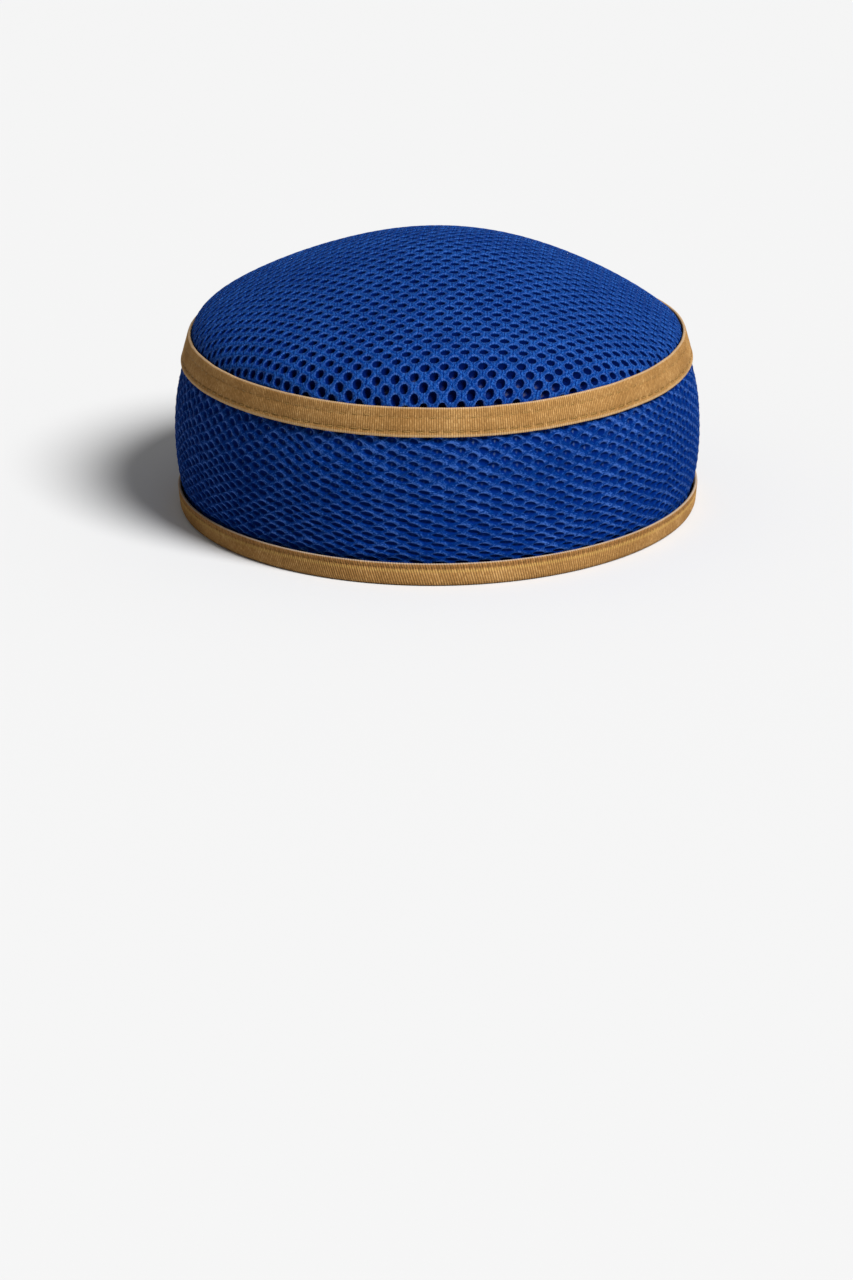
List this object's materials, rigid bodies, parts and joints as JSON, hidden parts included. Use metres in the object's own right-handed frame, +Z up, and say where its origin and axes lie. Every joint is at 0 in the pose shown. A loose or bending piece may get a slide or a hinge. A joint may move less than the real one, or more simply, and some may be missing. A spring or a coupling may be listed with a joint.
{
  "type": "kufi cap",
  "caption": "Brimless round cap of thick blue spacer mesh with a domed crown, an upright side wall, and tan ribbed tape over the crown seam and folded round the rim.",
  "frame": {"origin": "centre of the cap's footprint, on the flat underside of the rim", "axes": "front towards -Y, back towards +Y, +X to the right as seen from the front, +Z up through the crown"},
  "size_m": [0.1714, 0.197, 0.0883],
  "materials": {
    "spacer_mesh": "royal blue warp-knitted spacer mesh with open oval holes, matt with a slight sheen",
    "ribbed_tape": "tan ribbed tape, fine ribs across its length, matt"
  },
  "bodies": {
    "root": {"crown": "spacer_mesh", "side_wall": "spacer_mesh", "crown_tape": "ribbed_tape", "rim_binding": "ribbed_tape"}
  },
  "joints": []
}
